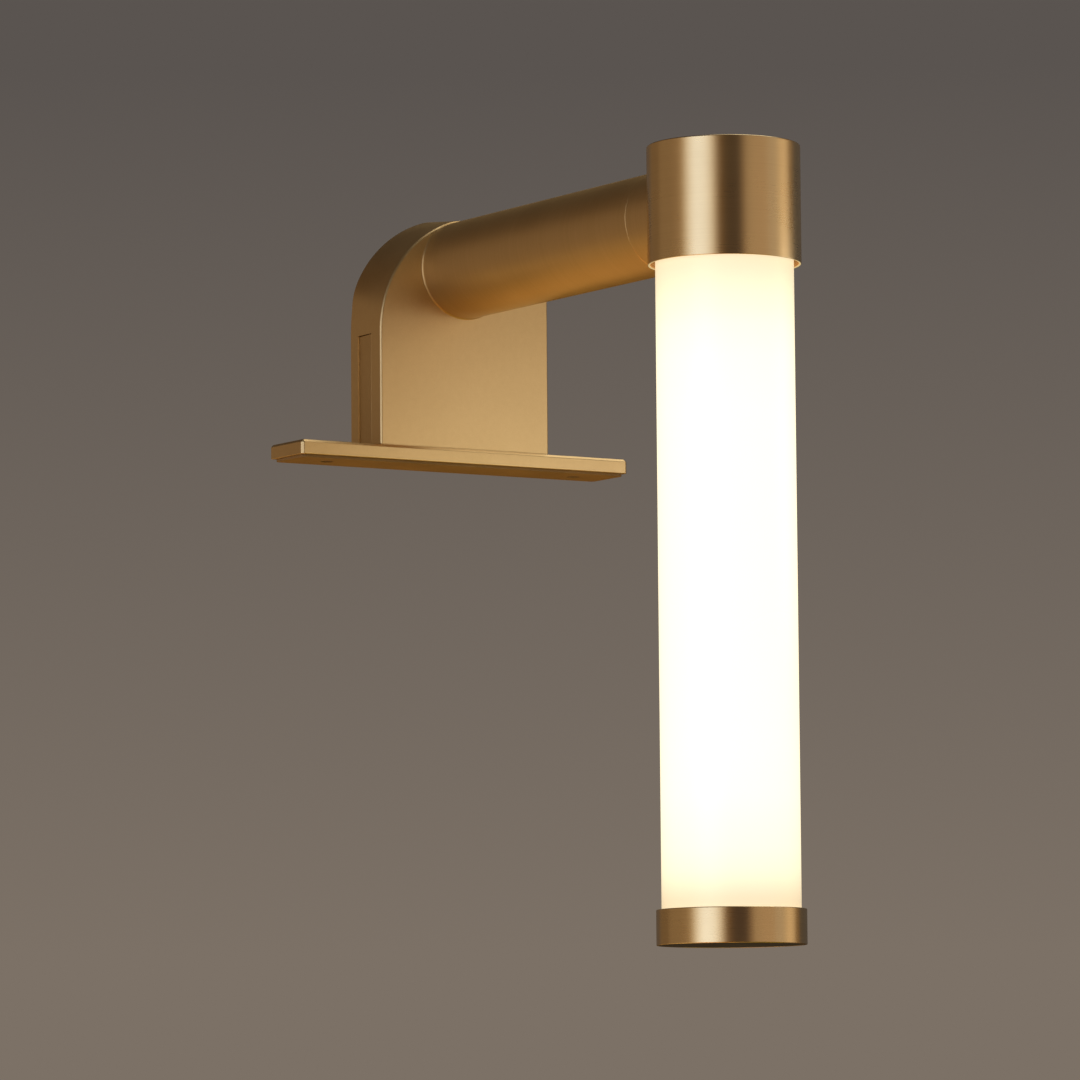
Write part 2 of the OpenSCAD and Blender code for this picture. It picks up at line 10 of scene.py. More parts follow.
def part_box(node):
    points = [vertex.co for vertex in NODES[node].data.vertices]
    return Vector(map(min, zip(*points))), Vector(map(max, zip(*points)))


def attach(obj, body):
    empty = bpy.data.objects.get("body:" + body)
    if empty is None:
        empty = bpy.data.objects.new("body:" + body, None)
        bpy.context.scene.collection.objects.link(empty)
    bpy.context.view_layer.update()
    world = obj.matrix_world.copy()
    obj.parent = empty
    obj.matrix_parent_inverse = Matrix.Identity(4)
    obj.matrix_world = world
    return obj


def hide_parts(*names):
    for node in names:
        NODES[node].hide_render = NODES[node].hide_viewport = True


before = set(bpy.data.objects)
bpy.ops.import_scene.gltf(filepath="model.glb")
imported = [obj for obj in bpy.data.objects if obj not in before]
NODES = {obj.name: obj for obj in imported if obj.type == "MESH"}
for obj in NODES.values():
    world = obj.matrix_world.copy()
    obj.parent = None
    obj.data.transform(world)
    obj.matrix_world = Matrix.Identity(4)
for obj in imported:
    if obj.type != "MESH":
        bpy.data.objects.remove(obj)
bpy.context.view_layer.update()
MM = 0.001

# ------------------------------------------------------------------ measures
# Most of them are taken from the boxes of the CAD nodes, in millimetres; the arch's spring height, radii and draft are
# given numbers.


def mm_box(node):
    lo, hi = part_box(node)
    return [v / MM for v in lo], [v / MM for v in hi]


cap_lo, cap_hi = mm_box("top_cap")
HEAD_X = (cap_lo[0] + cap_hi[0]) / 2
HEAD_Y = (cap_lo[1] + cap_hi[1]) / 2
CAP_R = (cap_hi[0] - cap_lo[0]) / 2
CAP_BOT, CAP_TOP = cap_lo[2], cap_hi[2]

col_lo, col_hi = mm_box("neck_collar")
ARM_R = (col_hi[0] - col_lo[0]) / 2
ARM_Z = (col_hi[2] + col_lo[2]) / 2
COL_END = col_hi[1]

arm_lo, arm_hi = mm_box("arm_tube")
ROOT_R = (arm_hi[0] - arm_lo[0]) / 2
ARM_FRONT, ARM_BACK = arm_lo[1], arm_hi[1]

glow_lo, glow_hi = mm_box("diffuser_tube")
GLOW_R = (glow_hi[0] - glow_lo[0]) / 2
GLOW_BOT, GLOW_TOP = glow_lo[2], glow_hi[2]

ring_lo, ring_hi = mm_box("bottom_ring")
RING_R = (ring_hi[0] - ring_lo[0]) / 2
RING_BOT, RING_TOP = ring_lo[2], ring_hi[2]

disc_lo, disc_hi = mm_box("bottom_disc")
DISC_R = (disc_hi[0] - disc_lo[0]) / 2

shell_lo, shell_hi = mm_box("housing_shell")
HOUSE_F, HOUSE_B = shell_lo[1], shell_hi[1]
HOUSE_HW = shell_hi[0]
FOOT_TOP = shell_lo[2]
SPRING_Z = FOOT_TOP + 39.0
SIDE_R, CROWN_R, RIGHT_R, DRAFT = 42.0, 16.0, 26.0, 2.1
BACK_F = mm_box("back_plate")[0][1]

foot_lo, foot_hi = mm_box("base_plate")
pad_lo, pad_hi = mm_box("base_pad")
cover_lo, cover_hi = mm_box("side_cover_right")
grom_lo, grom_hi = mm_box("cable_grommet")

# ---------------------------------------------------------------- mesh tools


def rounded(points, closed):
    """A polyline with its corners rounded. Each point is (a, b) or (a, b, radius, steps)."""
    out, n = [], len(points)
    for i, p in enumerate(points):
        if len(p) == 2 or p[2] <= 0 or (not closed and i in (0, n - 1)):
            out.append((p[0], p[1]))
            continue
        a, b = Vector(points[i - 1][:2]), Vector(points[(i + 1) % n][:2])
        c = Vector(p[:2])
        d1, d2 = (a - c).normalized(), (b - c).normalized()
        theta = math.acos(max(-1, min(1, d1.dot(d2))))
        t = p[2] / math.tan(theta / 2)
        centre = c + (d1 + d2).normalized() * (p[2] / math.sin(theta / 2))
        s, e = c + d1 * t - centre, c + d2 * t - centre
        a0 = math.atan2(s.y, s.x)
        turn = math.atan2(s.x * e.y - s.y * e.x, s.dot(e))
        for k in range(p[3] + 1):
            ang = a0 + turn * k / p[3]
            out.append((centre.x + p[2] * math.cos(ang), centre.y + p[2] * math.sin(ang)))
    return out


class Solid:
    """Collects closed shells in millimetres and turns them into one mesh."""

    def __init__(self):
        self.bm = bmesh.new()

    def shell(self, verts, faces):
        vs = [self.bm.verts.new((v[0] * MM, v[1] * MM, v[2] * MM)) for v in verts]
        made = []
        for f in faces:
            ids = []
            for i in f:
                if not ids or ids[-1] != i:
                    ids.append(i)
            if len(ids) > 1 and ids[0] == ids[-1]:
                ids.pop()
            if len(ids) > 2:
                made.append(self.bm.faces.new([vs[i] for i in ids]))
        bmesh.ops.remove_doubles(self.bm, verts=vs, dist=1e-8)
        bmesh.ops.recalc_face_normals(self.bm, faces=[f for f in made if f.is_valid])
        return self

    def lathe(self, profile, axis, x, y, z, segs=192, closed=True):
        """Turns (radius, along) points about an axis. Points at radius 0 become one vertex."""
        verts, rows = [], []
        for r, t in profile:
            row = []
            count = 1 if r < 1e-6 else segs
            for k in range(count):
                a = 2 * math.pi * k / segs
                c, s = r * math.cos(a), r * math.sin(a)
                row.append(len(verts))
                verts.append((x + c, y + s, z + t) if axis == "Z" else (x + c, y + t, z + s))
            rows.append(row)
        faces = []
        pairs = list(zip(rows, rows[1:]))
        if closed:
            pairs.append((rows[-1], rows[0]))
        for p, q in pairs:
            if len(p) == 1 and len(q) == 1:
                continue
            for k in range(segs):
                k2 = (k + 1) % segs
                a, b = p[k % len(p)], p[k2 % len(p)]
                c, d = q[k2 % len(q)], q[k % len(q)]
                faces.append([i for i in ([a, b, c, d])])
        return self.shell(verts, faces)

    def loft(self, rings):
        """Closed loft through rings of equal length, capped by one face at each end."""
        n = len(rings[0])
        verts = [p for ring in rings for p in ring]
        faces = []
        for r in range(len(rings) - 1):
            for k in range(n):
                k2 = (k + 1) % n
                faces.append([r * n + k, r * n + k2, (r + 1) * n + k2, (r + 1) * n + k])
        faces.append(list(range(n)))
        faces.append(list(range((len(rings) - 1) * n, len(rings) * n)))
        return self.shell(verts, faces)

    def block(self, lo, hi):
        x0, y0, z0 = lo
        x1, y1, z1 = hi
        return self.loft([
            [(x0, y0, z0), (x1, y0, z0), (x1, y1, z0), (x0, y1, z0)],
            [(x0, y0, z1), (x1, y0, z1), (x1, y1, z1), (x0, y1, z1)],
        ])

    def bevel(self, width, steps, least=20.0, only=None):
        edges = [
            e for e in self.bm.edges
            if len(e.link_faces) == 2 and e.calc_face_angle(0) > math.radians(least)
            and (only is None or only(e))
        ]
        bmesh.ops.bevel(self.bm, geom=edges, offset=width * MM, offset_type="OFFSET", segments=steps,
                        profile=0.5, affect="EDGES", clamp_overlap=True)
        bmesh.ops.recalc_face_normals(self.bm, faces=self.bm.faces)
        return self

    def object(self, name):
        mesh = bpy.data.meshes.new(name)
        self.bm.to_mesh(mesh)
        self.bm.free()
        obj = bpy.data.objects.new(name, mesh)
        bpy.context.scene.collection.objects.link(obj)
        return obj


def carve(obj, *cutters):
    """Cuts the cutters out of obj and keeps the result as obj's mesh."""
    for c in cutters:
        m = obj.modifiers.new("cut", "BOOLEAN")
        m.operation, m.solver, m.object = "DIFFERENCE", "EXACT", c
    bpy.context.view_layer.update()
    dg = bpy.context.evaluated_depsgraph_get()
    mesh = bpy.data.meshes.new_from_object(obj.evaluated_get(dg))
    obj.modifiers.clear()
    old = obj.data
    obj.data = mesh
    mesh.name = obj.name
    bpy.data.meshes.remove(old)
    for c in cutters:
        data = c.data
        bpy.data.objects.remove(c)
        bpy.data.meshes.remove(data)
    return obj


def join(obj, *others):
    """Adds other objects' meshes to obj's."""
    bm = bmesh.new()
    bm.from_mesh(obj.data)
    for o in others:
        bm.from_mesh(o.data)
        data = o.data
        bpy.data.objects.remove(o)
        bpy.data.meshes.remove(data)
    bm.to_mesh(obj.data)
    bm.free()
    return obj


def finish(obj, body, nodes, material, sharp=32.0, weighted=True):
    obj.data.materials.clear()
    obj.data.materials.append(material)
    obj.data.shade_smooth()
    obj.data.set_sharp_from_angle(angle=math.radians(sharp))
    if weighted:
        w = obj.modifiers.new("even_normals", "WEIGHTED_NORMAL")
        w.mode, w.keep_sharp, w.weight = "FACE_AREA", True, 50
    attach(obj, body)
    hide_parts(*nodes)
    return obj


# ----------------------------------------------------------------- materials


def srgb(r, g, b):
    def lin(v):
        v /= 255.0
        return v / 12.92 if v <= 0.04045 else ((v + 0.055) / 1.055) ** 2.4
    return (lin(r), lin(g), lin(b), 1.0)


class Mat:
    """A Principled material with short calls for its nodes."""

    def __init__(self, name, base, metallic=0.0, rough=0.5):
        self.mat = bpy.data.materials.new(name)
        self.mat.use_nodes = True
        self.nt = self.mat.node_tree
        self.nt.nodes.clear()
        self.out = self.node("ShaderNodeOutputMaterial")
        self.bsdf = self.node("ShaderNodeBsdfPrincipled")
        self.nt.links.new(self.bsdf.outputs["BSDF"], self.out.inputs["Surface"])
        self.set("Base Color", base)
        self.set("Metallic", metallic)
        self.set("Roughness", rough)
        self.coord = self.node("ShaderNodeTexCoord").outputs["Object"]

    def node(self, kind, **props):
        n = self.nt.nodes.new(kind)
        for k, v in props.items():
            setattr(n, k, v)
        return n

    def put(self, socket, value):
        if isinstance(value, bpy.types.NodeSocket):
            self.nt.links.new(value, socket)
        else:
            socket.default_value = value

    def set(self, name, value):
        self.put(self.bsdf.inputs[name], value)
        return self

    def math(self, op, a, b=0.0, c=0.0, clamp=False):
        n = self.node("ShaderNodeMath", operation=op, use_clamp=clamp)
        for s, v in zip(n.inputs, (a, b, c)):
            self.put(s, v)
        return n.outputs[0]

    def scaled(self, sx, sy, sz, shift=(0, 0, 0), source=None):
        n = self.node("ShaderNodeMapping")
        self.put(n.inputs["Vector"], source or self.coord)
        n.inputs["Location"].default_value = shift
        n.inputs["Scale"].default_value = (sx, sy, sz)
        return n.outputs[0]

    def noise(self, vector, scale=1.0, detail=2.0, rough=0.5, w=None, distort=0.0):
        n = self.node("ShaderNodeTexNoise", noise_dimensions="4D" if w is not None else "3D")
        self.put(n.inputs["Vector"], vector)
        if w is not None:
            self.put(n.inputs["W"], w)
        n.inputs["Scale"].default_value = scale
        n.inputs["Detail"].default_value = detail
        n.inputs["Roughness"].default_value = rough
        n.inputs["Distortion"].default_value = distort
        return n.outputs["Fac"]

    def ramp(self, value, lo, hi, a=0.0, b=1.0):
        n = self.node("ShaderNodeMapRange", clamp=True)
        self.put(n.inputs["Value"], value)
        for k, v in zip(("From Min", "From Max", "To Min", "To Max"), (lo, hi, a, b)):
            n.inputs[k].default_value = v
        return n.outputs[0]

    def mix(self, factor, a, b, blend="MIX"):
        n = self.node("ShaderNodeMix", data_type="RGBA", blend_type=blend)
        self.put(n.inputs[0], factor)
        self.put(n.inputs[6], a)
        self.put(n.inputs[7], b)
        return n.outputs[2]

    def bump(self, height, strength, distance, normal=None):
        n = self.node("ShaderNodeBump")
        self.put(n.inputs["Height"], height)
        n.inputs["Strength"].default_value = strength
        n.inputs["Distance"].default_value = distance
        if normal is not None:
            self.put(n.inputs["Normal"], normal)
        return n.outputs[0]

    def curve(self, value, stops):
        """Colour ramp of (position, grey or colour) stops."""
        n = self.node("ShaderNodeValToRGB")
        self.put(n.inputs[0], value)
        els = n.color_ramp.elements
        while len(els) > 1:
            els.remove(els[-1])
        for i, (pos, col) in enumerate(stops):
            e = els[0] if i == 0 else els.new(pos)
            e.position = pos
            e.color = col if isinstance(col, tuple) else (col, col, col, 1)
        return n.outputs[0]

    def xyz(self):
        n = self.node("ShaderNodeSeparateXYZ")
        self.put(n.inputs[0], self.coord)
        return n.outputs

    def pack(self, x, y, z):
        n = self.node("ShaderNodeCombineXYZ")
        for s, v in zip(n.inputs, (x, y, z)):
            self.put(s, v)
        return n.outputs[0]


def turned_metal(name, base, dark, light, rough, axis, centre, aniso=0.6, line=0.25, metal=1.0,
                 bump=0.25, spread=0.08, wear=0.0, painted_lip_glow=None):
    """Metal brushed round an axis: fine lines that run round it on the wall and in circles on the ends.
    The glow argument, (outer radius, z of the lip, direction into the piece), paints a glow inside that lip: painted
    light standing in for the tube's lamplight caught there."""
    m = Mat(name, base, metal, rough)
    x, y, z = m.xyz()
    cx, cy, cz = (c * MM for c in centre)
    if axis == "Z":
        u, v, t = m.math("SUBTRACT", x, cx), m.math("SUBTRACT", y, cy), z
    else:
        u, v, t = m.math("SUBTRACT", x, cx), m.math("SUBTRACT", z, cz), y
    r = m.math("SQRT", m.math("ADD", m.math("MULTIPLY", u, u), m.math("MULTIPLY", v, v)))
    fine = 1000.0 / line
    slow = 22.0

    def lines(k, detail, shift):
        vec = m.pack(m.math("MULTIPLY_ADD", u, slow, shift), m.math("MULTIPLY", v, slow), m.math("MULTIPLY", r, k))
        return m.noise(vec, 1.0, detail, 0.6, w=m.math("MULTIPLY", t, k))

    coarse = lines(fine * 0.45, 2.0, 0.0)
    hair = lines(fine * 1.7, 1.0, 7.3)
    both = m.math("ADD", m.math("MULTIPLY", coarse, 0.55), m.math("MULTIPLY", hair, 0.45))
    cloud = m.noise(m.scaled(38, 38, 38), 1.0, 3.0, 0.55)
    tone = m.math("ADD", m.math("MULTIPLY", both, 0.75), m.math("MULTIPLY", cloud, 0.25))
    m.set("Base Color", m.mix(m.ramp(tone, 0.36, 0.64), dark, light))
    rr = m.math("ADD", m.ramp(both, 0.3, 0.7, rough - spread, rough + spread), m.ramp(cloud, 0.35, 0.65, -0.02, 0.02))
    m.set("Roughness", rr)
    m.set("Normal", m.bump(both, bump, 0.00003))
    if aniso:
        m.set("Anisotropic", aniso)
        m.set("Anisotropic Rotation", 0.25)
        tan = m.node("ShaderNodeTangent", direction_type="RADIAL", axis=axis)
        m.set("Tangent", tan.outputs[0])
    # painted glow: orange emission on the inner wall near the lip, standing in for the tube's light caught inside it
    if painted_lip_glow:
        wall_r, lip_z, way = painted_lip_glow
        depth = m.math("MULTIPLY", m.math("SUBTRACT", z, lip_z * MM), way)
        inner = m.ramp(r, (wall_r - 0.30) * MM, (wall_r - 0.12) * MM, 1.0, 0.0)
        near = m.ramp(depth, 0.0, 0.008, 1.0, 0.0)
        lip = m.ramp(depth, 0.00005, 0.00035, 1.0, 0.0)
        level = m.math("MULTIPLY", m.math("MULTIPLY", inner, near), m.math("MULTIPLY_ADD", lip, 0.52, 0.16))
        m.set("Emission Strength", m.math("MULTIPLY", level, m.ramp(coarse, 0.3, 0.7, 0.9, 1.1)))
        m.set("Emission Color", m.mix(lip, (1.0, 0.50, 0.16, 1), (1.0, 0.74, 0.34, 1)))
    return m.mat


def satin_metal(name, dark, light, rough, metal=1.0, grain=0.35, bump=0.12, spread=0.05, tint=None):
    """Fine blasted or powder-satin metal: even fine grain, slow cloudy change of tone."""
    m = Mat(name, light, metal, rough)
    fine = m.noise(m.scaled(1000 / grain, 1000 / grain, 1000 / grain), 1.0, 3.0, 0.62)
    mid = m.noise(m.scaled(420, 420, 420), 1.0, 2.0, 0.5)
    cloud = m.noise(m.scaled(30, 30, 42), 1.0, 3.0, 0.5)
    tone = m.math("ADD", m.math("MULTIPLY", fine, 0.4), m.math("ADD", m.math("MULTIPLY", mid, 0.2), m.math("MULTIPLY", cloud, 0.4)))
    m.set("Base Color", m.mix(m.ramp(tone, 0.38, 0.62), dark, light))
    m.set("Roughness", m.math("ADD", m.ramp(fine, 0.3, 0.7, rough - spread, rough + spread),
                              m.ramp(cloud, 0.35, 0.65, -0.025, 0.025)))
    height = m.math("ADD", m.math("MULTIPLY", fine, 0.7), m.math("MULTIPLY", mid, 0.3))
    m.set("Normal", m.bump(height, bump, 0.00004))
    return m.mat


def plain_solid(name, dark, light, rough, metal=0.0, grain=0.5, bump=0.1, spread=0.06, coat=0.0, sss=0.0,
                stretch=(1, 1, 1), cloud_scale=60, spec=0.5):
    """Moulded, pressed or cast stuff with its own grain and cloudiness."""
    m = Mat(name, light, metal, rough)
    k = 1000 / grain
    fine = m.noise(m.scaled(k * stretch[0], k * stretch[1], k * stretch[2]), 1.0, 3.0, 0.6)
    cloud = m.noise(m.scaled(cloud_scale, cloud_scale, cloud_scale), 1.0, 3.0, 0.5)
    tone = m.math("ADD", m.math("MULTIPLY", fine, 0.5), m.math("MULTIPLY", cloud, 0.5))
    m.set("Base Color", m.mix(m.ramp(tone, 0.38, 0.62), dark, light))
    m.set("Roughness", m.ramp(tone, 0.35, 0.65, rough - spread, rough + spread))
    m.set("Normal", m.bump(fine, bump, 0.00005))
    m.set("Specular IOR Level", spec)
    if coat:
        m.set("Coat Weight", coat)
        m.set("Coat Roughness", 0.25)
    if sss:
        m.set("Subsurface Weight", sss)
        m.set("Subsurface Scale", 0.002)
    return m.mat


GOLD_DARK, GOLD_LIGHT = (0.75, 0.55, 0.31, 1), (0.81, 0.61, 0.355, 1)
mat_gold = satin_metal("satin_gold", GOLD_DARK, GOLD_LIGHT, 0.39, metal=0.92, grain=0.30, bump=0.12, spread=0.03)
mat_cover = satin_metal("satin_gold_cover", (0.70, 0.505, 0.275, 1), (0.76, 0.56, 0.32, 1), 0.39, metal=0.92, grain=0.30, bump=0.12, spread=0.03)
mat_arm = turned_metal("arm_brass", (0.71, 0.50, 0.26, 1), (0.68, 0.475, 0.24, 1), (0.74, 0.525, 0.28, 1), 0.46, "Y",
                       (0, 0, ARM_Z), aniso=0.15, line=0.30, metal=0.90, bump=0.05, spread=0.025)
# the cap and the ring get a painted glow inside their lips, standing in for the tube's light there
mat_cap = turned_metal("brushed_brass", (0.88, 0.70, 0.46, 1), (0.85, 0.67, 0.435, 1), (0.91, 0.73, 0.485, 1), 0.28, "Z",
                       (HEAD_X, HEAD_Y, 0), aniso=0.60, line=0.22, metal=1.0, bump=0.02, spread=0.012, painted_lip_glow=(CAP_R, CAP_BOT, 1.0))
mat_ring = turned_metal("brushed_brass_ring", (0.88, 0.70, 0.46, 1), (0.85, 0.67, 0.435, 1), (0.91, 0.73, 0.485, 1), 0.28, "Z",
                       (HEAD_X, HEAD_Y, 0), aniso=0.60, line=0.22, metal=1.0, bump=0.02, spread=0.012, painted_lip_glow=(RING_R, RING_TOP, -1.0))

# slate blue: partly the disc's own dark colour, partly painted reflection of a cool dark surround seen at a grazing
# angle
mat_disc = plain_solid("dark_disc", srgb(66, 74, 102), srgb(80, 89, 120), 0.50, grain=0.6, bump=0.12, spec=0.12)
mat_rubber = plain_solid("pad_rubber", (0.018, 0.018, 0.019, 1), (0.035, 0.035, 0.037, 1), 0.72, grain=0.35, bump=0.3)
mat_pad = plain_solid("pad_tan", (0.26, 0.165, 0.075, 1), (0.34, 0.22, 0.105, 1), 0.70, grain=0.35, bump=0.3)
mat_silicone = plain_solid("silicone", (0.62, 0.62, 0.58, 1), (0.74, 0.74, 0.70, 1), 0.48, grain=0.8, sss=0.3)
mat_white = plain_solid("white_plastic", (0.74, 0.74, 0.71, 1), (0.83, 0.83, 0.80, 1), 0.42, grain=0.5, bump=0.15)
mat_nylon = plain_solid("nylon", (0.66, 0.64, 0.57, 1), (0.76, 0.74, 0.67, 1), 0.40, grain=0.7, sss=0.2)
mat_zinc = plain_solid("zinc_steel", (0.42, 0.43, 0.45, 1), (0.62, 0.63, 0.66, 1), 0.34, metal=1.0, grain=0.6, bump=0.12,
                       spread=0.1, cloud_scale=260)
mat_turned = plain_solid("turned_steel", (0.50, 0.50, 0.51, 1), (0.66, 0.66, 0.67, 1), 0.28, metal=1.0, grain=0.25,
                         bump=0.15, stretch=(0.05, 1, 0.05))
mat_fixings = plain_solid("brass_fixings", (0.60, 0.43, 0.17, 1), (0.76, 0.57, 0.26, 1), 0.33, metal=1.0, grain=0.4,
                          bump=0.12, spread=0.08, cloud_scale=180)
mat_alu = plain_solid("aluminium", (0.62, 0.63, 0.65, 1), (0.76, 0.77, 0.79, 1), 0.36, metal=1.0, grain=0.35,
                      bump=0.12, stretch=(1, 1, 0.03))
mat_green = plain_solid("board_green", (0.010, 0.085, 0.035, 1), (0.018, 0.125, 0.055, 1), 0.38, grain=1.1, bump=0.2, coat=0.5)
mat_board = plain_solid("board_white", (0.74, 0.75, 0.74, 1), (0.82, 0.83, 0.82, 1), 0.36, grain=0.9, bump=0.08, coat=0.4)
mat_phosphor = plain_solid("led_phosphor", (0.80, 0.60, 0.12, 1), (0.88, 0.70, 0.20, 1), 0.45, grain=0.3, sss=0.3)
mat_coil = plain_solid("coil_yellow", (0.62, 0.46, 0.05, 1), (0.76, 0.58, 0.10, 1), 0.45, grain=0.8, bump=0.2,
                       stretch=(0.2, 1, 0.2))
mat_component = plain_solid("component_dark", (0.016, 0.018, 0.035, 1), (0.035, 0.038, 0.07, 1), 0.40, grain=0.6)
mat_wire = plain_solid("lead_wire", (0.66, 0.66, 0.64, 1), (0.77, 0.77, 0.75, 1), 0.45, grain=0.5, bump=0.1)


def two_tone_wire(name, a, b):
    m = Mat(name, a, 0.0, 0.45)
    x, y, z = m.xyz()
    wave = m.math("SINE", m.math("MULTIPLY_ADD", z, 700.0, m.math("MULTIPLY", x, 900.0)))
    stripe = m.ramp(wave, -0.1, 0.1)
    fine = m.noise(m.scaled(1800, 1800, 1800), 1.0, 2.0, 0.5)
    m.set("Base Color", m.mix(stripe, a, b))
    m.set("Roughness", m.ramp(fine, 0.3, 0.7, 0.38, 0.52))
    m.set("Normal", m.bump(fine, 0.1, 0.00004))
    return m.mat


mat_earth = two_tone_wire("earth_wire", (0.05, 0.30, 0.03, 1), (0.80, 0.62, 0.03, 1))


def opal_material():
    """Opal tube lit from inside: a little dimmer and yellower towards its two ends."""
    m = Mat("opal", (0.62, 0.60, 0.54, 1), 0.0, 0.42)
    x, y, z = m.xyz()
    up = m.math("DIVIDE", m.math("SUBTRACT", CAP_BOT * MM, z), 1.0)        # metres below the cap's rim
    down = m.math("SUBTRACT", z, RING_TOP * MM)                            # metres above the ring
    top = m.curve(m.math("DIVIDE", up, 0.05), [(0.0, 0.22), (0.054, 0.30), (0.108, 0.39), (0.244, 0.60), (0.34, 0.70), (0.44, 0.83), (0.65, 0.95), (1.0, 1.0)])
    low = m.curve(m.math("DIVIDE", down, 0.05), [(0.0, 0.12), (0.054, 0.20), (0.108, 0.34), (0.176, 0.52), (0.244, 0.66), (0.38, 0.81), (0.72, 0.97), (1.0, 1.0)])
    level = m.math("MULTIPLY", m.math("MINIMUM", top, 1.0), m.math("MINIMUM", low, 1.0), clamp=True)
    cloud = m.noise(m.scaled(26, 26, 14), 1.0, 2.0, 0.5)
    level = m.math("ADD", level, m.ramp(cloud, 0.3, 0.7, -0.015, 0.015))
    glow = m.ramp(level, 0.0, 1.0, GLOW_END, GLOW_MID)
    m.set("Emission Color", m.mix(m.math("MINIMUM", level, 1.0, clamp=True), GLOW_END_COLOUR, GLOW_MID_COLOUR))
    m.set("Emission Strength", glow)
    fine = m.noise(m.scaled(900, 900, 900), 1.0, 2.0, 0.5)
    m.set("Roughness", m.ramp(fine, 0.3, 0.7, 0.38, 0.46))
    m.set("Normal", m.bump(fine, 0.05, 0.00003))
    m.set("Coat Weight", 0.6)
    m.set("Coat Roughness", 0.35)
    m.set("Coat Tint", (1.0, 0.90, 0.66, 1))
    return m.mat


GLOW_END, GLOW_MID = 0.74, 1.35
GLOW_END_COLOUR, GLOW_MID_COLOUR = (1.0, 0.865, 0.69, 1), (1.0, 0.985, 0.88, 1)
mat_opal = opal_material()

# -------------------------------------------------------------------- pieces

# Top cap: thin-walled turned cup, with the hole in its back for the spindle
cap_wall = 0.8
cap = Solid().lathe(rounded([
    (0, CAP_TOP),
    (CAP_R, CAP_TOP, 0.38, 6),
    (CAP_R, ARM_Z + 9),
    (CAP_R, ARM_Z - 9),
    (CAP_R, CAP_BOT, 0.18, 4),
    (CAP_R - cap_wall, CAP_BOT, 0.18, 4),
    (CAP_R - cap_wall, CAP_TOP - 1.5, 0.4, 4),
    (0, CAP_TOP - 1.5),
], False), "Z", HEAD_X, HEAD_Y, 0, segs=224).object("top_cap_skin")
bore = Solid().lathe([(0, HEAD_Y + 18), (6.1, HEAD_Y + 18), (6.1, HEAD_Y + CAP_R + 2), (0, HEAD_Y + CAP_R + 2)],
                     "Y", 0, 0, ARM_Z, segs=64, closed=False).object("cut_bore")
carve(cap, bore)
finish(cap, "head", ["top_cap"], mat_cap)

# Neck collar: short length of arm with its front end saddled on the cap
segs = 160
inner = 6.05
rings = []


def saddle(x):
    return HEAD_Y + math.sqrt(max((CAP_R - 0.03) ** 2 - x * x, 0))


prof = rounded([(inner, 0), (ARM_R, 0), (ARM_R, COL_END, 0.30, 6), (inner, COL_END)], False)[1:]
verts, rows = [], []
spans = [(inner, None), (11.0, None), (ARM_R, None)] + [(r, t) for r, t in prof[1:]]
for r, t in spans:
    row = []
    for k in range(segs):
        a = 2 * math.pi * k / segs
        px, pz = r * math.cos(a), r * math.sin(a)
        row.append(len(verts))
        verts.append((px, saddle(px) if t is None else t, ARM_Z + pz))
    rows.append(row)
faces = []
for p, q in zip(rows, rows[1:] + rows[:1]):
    for k in range(segs):
        k2 = (k + 1) % segs
        faces.append([p[k], p[k2], q[k2], q[k]])
collar = Solid().shell(verts, faces).object("neck_collar_skin")
pin_arc = []
half = math.radians(90) + math.asin(1.25 / 11.0) + math.radians(0.6)
steps = 64
ring_in, ring_out = 11 - 1.25 - 0.2, 11 + 1.25 + 0.2
outline = [(ring_out * math.sin(-half + 2 * half * k / steps), ring_out * math.cos(-half + 2 * half * k / steps)) for k in range(steps + 1)]
outline += [(ring_in * math.sin(half - 2 * half * k / steps), ring_in * math.cos(half - 2 * half * k / steps)) for k in range(steps + 1)]
groove = Solid().loft([[(px, COL_END - 2.4, ARM_Z + pz) for px, pz in outline],
                       [(px, COL_END + 1.0, ARM_Z + pz) for px, pz in outline]]).object("cut_groove")
carve(collar, groove)
finish(collar, "head", ["neck_collar"], mat_arm)

# Arm tube: rounded edge at the seam, small flare where it meets the housing
arm_in = ARM_R - 1.5
flare = 0.6 * (ROOT_R - ARM_R)
arm = Solid().lathe(rounded([
    (arm_in, ARM_FRONT),
    (ARM_R, ARM_FRONT, 0.55, 8),
    (ARM_R, ARM_BACK - flare, 0.4, 4),
    (ARM_R + flare, ARM_BACK),
    (arm_in, ARM_BACK),
], True), "Y", 0, 0, ARM_Z, segs=192).object("arm_tube_skin")
finish(arm, "bracket", ["arm_tube"], mat_arm)

# Opal tube
tube = Solid().lathe(rounded([
    (GLOW_R - 2.5, GLOW_BOT, 0.3, 3),
    (GLOW_R, GLOW_BOT, 0.3, 4),
    (GLOW_R, -100), (GLOW_R, -50), (GLOW_R, 0),
    (GLOW_R, GLOW_TOP, 0.3, 4),
    (GLOW_R - 2.5, GLOW_TOP, 0.3, 3),
    (GLOW_R - 2.5, 0), (GLOW_R - 2.5, -50), (GLOW_R - 2.5, -100),
], True), "Z", HEAD_X, HEAD_Y, 0, segs=192).object("opal_tube")
finish(tube, "head", ["diffuser_tube"], mat_opal)

# Bottom ring and the dark disc let into it
web_top, web_bot = RING_TOP - 4.5, RING_TOP - 6.5
ring = Solid().lathe(rounded([
    (2.2, web_top),
    (RING_R - 1.25, web_top, 0.3, 3),
    (RING_R - 1.25, RING_TOP, 0.2, 3),
    (RING_R, RING_TOP, 0.32, 5),
    (RING_R, RING_BOT, 0.22, 5),
    (RING_R - 1.25, RING_BOT, 0.12, 3),
    (RING_R - 1.25, web_bot, 0.3, 3),
    (2.2, web_bot),
], True), "Z", HEAD_X, HEAD_Y, 0, segs=224).object("bottom_ring_skin")
finish(ring, "head", ["bottom_ring"], mat_ring)

